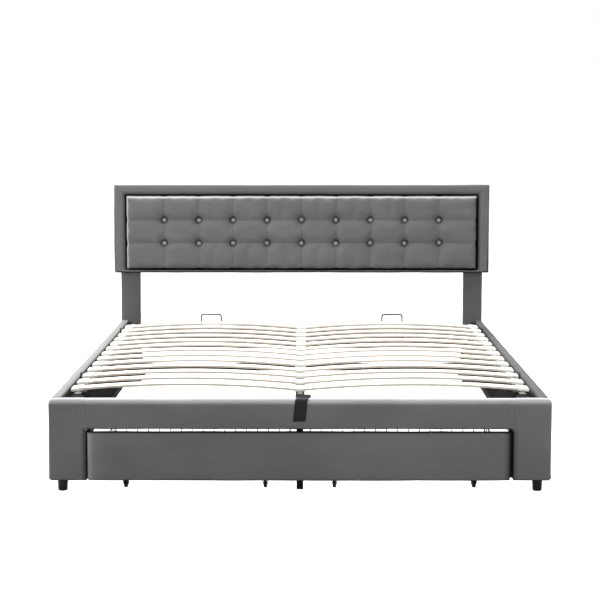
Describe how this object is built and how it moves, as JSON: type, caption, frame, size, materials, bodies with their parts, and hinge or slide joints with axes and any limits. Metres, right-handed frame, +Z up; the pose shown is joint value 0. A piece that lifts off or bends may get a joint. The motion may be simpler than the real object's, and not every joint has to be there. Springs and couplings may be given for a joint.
{
  "type": "platform bed",
  "caption": "Upholstered lift-up platform bed with a tufted headboard, a sprung slat frame on gas struts and a drawer front carrying two wire baskets on castors.",
  "frame": {"origin": "on the floor under the middle of the whole bed", "axes": "+Z up; +Y from the foot of the bed to the headboard; +X to the right seen from the foot"},
  "size_m": [1.66, 2.204, 0.913],
  "materials": {
    "velvet": "grey velvet upholstery over foam",
    "velvet_button": "covered buttons in the same grey velvet",
    "board": "plain engineered wood board inside the covers",
    "lining": "black non-woven lining",
    "birch": "clear-coated bent birch plywood",
    "ivory_plastic": "moulded ivory plastic sockets",
    "black_steel": "black powder coat",
    "black_plastic": "moulded black plastic",
    "zinc": "zinc-plated steel",
    "rod_steel": "ground and plated strut rod",
    "webbing": "black woven webbing"
  },
  "bodies": {
    "base": {"headboard_board": "board", "headboard_border": "velvet", "headboard_pad": "velvet", "headboard_buttons": "velvet_button", "headboard_leg_right": "velvet", "headboard_leg_left": "velvet", "headboard_bolts": "zinc", "leg_glides": "black_plastic", "side_rail_cover_right": "velvet", "side_rail_cover_left": "velvet", "side_rail_boards": "board", "rail_linings": "lining", "foot_cover_center": "velvet", "foot_cross_board": "board", "foot_cover_right": "velvet", "foot_cover_left": "velvet", "foot_post_boards": "board", "front_feet": "black_plastic", "corner_brackets": "black_steel", "bracket_bolts": "zinc", "center_leg": "black_steel", "frame_rests": "black_steel", "hinge_plates": "black_steel", "hinge_pins": "zinc", "head_cross_tube": "black_steel", "strut_base_brackets": "black_steel"},
    "lift_frame": {"hinge_arms": "black_steel", "lift_side_tube_right": "black_steel", "lift_side_tube_left": "black_steel", "lift_center_tube": "black_steel", "lift_crossbar_foot": "black_steel", "lift_crossbar_head": "black_steel", "lift_crossbars_middle": "black_steel", "slats_right": "birch", "slats_left": "birch", "slat_holders_outer": "ivory_plastic", "slat_holders_center": "ivory_plastic", "mattress_stops": "black_steel", "side_stops": "black_steel", "pull_strap": "webbing", "strut_frame_brackets": "black_steel"},
    "strut_cylinder_left": {"strut_cylinder_left": "black_steel"},
    "strut_cylinder_right": {"strut_cylinder_right": "black_steel"},
    "strut_rod_left": {"strut_rod_left": "rod_steel"},
    "strut_rod_right": {"strut_rod_right": "rod_steel"},
    "drawer": {"drawer_front_cover": "velvet", "drawer_front_board": "board", "basket_right": "black_steel", "basket_left": "black_steel", "basket_clips": "black_plastic", "castor_forks": "black_steel", "castor_axles": "zinc"},
    "castor_wheel_left_front_inner": {"castor_wheel_left_front_inner": "black_plastic"},
    "castor_wheel_left_front_outer": {"castor_wheel_left_front_outer": "black_plastic"},
    "castor_wheel_left_back_inner": {"castor_wheel_left_back_inner": "black_plastic"},
    "castor_wheel_left_back_outer": {"castor_wheel_left_back_outer": "black_plastic"},
    "castor_wheel_right_front_inner": {"castor_wheel_right_front_inner": "black_plastic"},
    "castor_wheel_right_front_outer": {"castor_wheel_right_front_outer": "black_plastic"},
    "castor_wheel_right_back_inner": {"castor_wheel_right_back_inner": "black_plastic"},
    "castor_wheel_right_back_outer": {"castor_wheel_right_back_outer": "black_plastic"}
  },
  "joints": [
    {"name": "lift", "type": "hinge", "parent": "base", "child": "lift_frame", "pos_m": [0, 1.002, 0.277], "axis": [-1, 0, 0], "range_deg": [0, 36]},
    {"name": "drawer_slide", "type": "slide", "parent": "base", "child": "drawer", "axis": [0, -1, 0], "range_m": [0, 0.38]},
    {"name": "strut_turn_left", "type": "hinge", "parent": "base", "child": "strut_cylinder_left", "pos_m": [-0.693, 0.852, 0.077], "axis": [-1, 0, 0], "range_deg": [0, 29]},
    {"name": "strut_stroke_left", "type": "slide", "parent": "strut_cylinder_left", "child": "strut_rod_left", "axis": [0, -0.7341, 0.679], "range_m": [0, 0.149]},
    {"name": "strut_turn_right", "type": "hinge", "parent": "base", "child": "strut_cylinder_right", "pos_m": [0.693, 0.852, 0.077], "axis": [-1, 0, 0], "range_deg": [0, 29]},
    {"name": "strut_stroke_right", "type": "slide", "parent": "strut_cylinder_right", "child": "strut_rod_right", "axis": [0, -0.7341, 0.679], "range_m": [0, 0.149]},
    {"name": "spin_left_front_inner", "type": "hinge", "parent": "drawer", "child": "castor_wheel_left_front_inner", "pos_m": [-0.113, -1.013, 0.015], "axis": [1, 0, 0], "range_deg": [0, 1452]},
    {"name": "spin_left_front_outer", "type": "hinge", "parent": "drawer", "child": "castor_wheel_left_front_outer", "pos_m": [-0.569, -1.013, 0.015], "axis": [1, 0, 0], "range_deg": [0, 1452]},
    {"name": "spin_left_back_inner", "type": "hinge", "parent": "drawer", "child": "castor_wheel_left_back_inner", "pos_m": [-0.113, -0.768, 0.015], "axis": [1, 0, 0], "range_deg": [0, 1452]},
    {"name": "spin_left_back_outer", "type": "hinge", "parent": "drawer", "child": "castor_wheel_left_back_outer", "pos_m": [-0.569, -0.768, 0.015], "axis": [1, 0, 0], "range_deg": [0, 1452]},
    {"name": "spin_right_front_inner", "type": "hinge", "parent": "drawer", "child": "castor_wheel_right_front_inner", "pos_m": [0.113, -1.013, 0.015], "axis": [1, 0, 0], "range_deg": [0, 1452]},
    {"name": "spin_right_front_outer", "type": "hinge", "parent": "drawer", "child": "castor_wheel_right_front_outer", "pos_m": [0.569, -1.013, 0.015], "axis": [1, 0, 0], "range_deg": [0, 1452]},
    {"name": "spin_right_back_inner", "type": "hinge", "parent": "drawer", "child": "castor_wheel_right_back_inner", "pos_m": [0.113, -0.768, 0.015], "axis": [1, 0, 0], "range_deg": [0, 1452]},
    {"name": "spin_right_back_outer", "type": "hinge", "parent": "drawer", "child": "castor_wheel_right_back_outer", "pos_m": [0.569, -0.768, 0.015], "axis": [1, 0, 0], "range_deg": [0, 1452]}
  ],
  "couplings": [
    {"joint": "strut_turn_left", "follows": "lift", "ratio": 0.78},
    {"joint": "strut_stroke_left", "follows": "lift", "m_per_rad": 0.235},
    {"joint": "strut_turn_right", "follows": "lift", "ratio": 0.78},
    {"joint": "strut_stroke_right", "follows": "lift", "m_per_rad": 0.235},
    {"joint": "spin_left_front_inner", "follows": "drawer_slide", "rad_per_m": 66.667},
    {"joint": "spin_left_front_outer", "follows": "drawer_slide", "rad_per_m": 66.667},
    {"joint": "spin_left_back_inner", "follows": "drawer_slide", "rad_per_m": 66.667},
    {"joint": "spin_left_back_outer", "follows": "drawer_slide", "rad_per_m": 66.667},
    {"joint": "spin_right_front_inner", "follows": "drawer_slide", "rad_per_m": 66.667},
    {"joint": "spin_right_front_outer", "follows": "drawer_slide", "rad_per_m": 66.667},
    {"joint": "spin_right_back_inner", "follows": "drawer_slide", "rad_per_m": 66.667},
    {"joint": "spin_right_back_outer", "follows": "drawer_slide", "rad_per_m": 66.667}
  ]
}
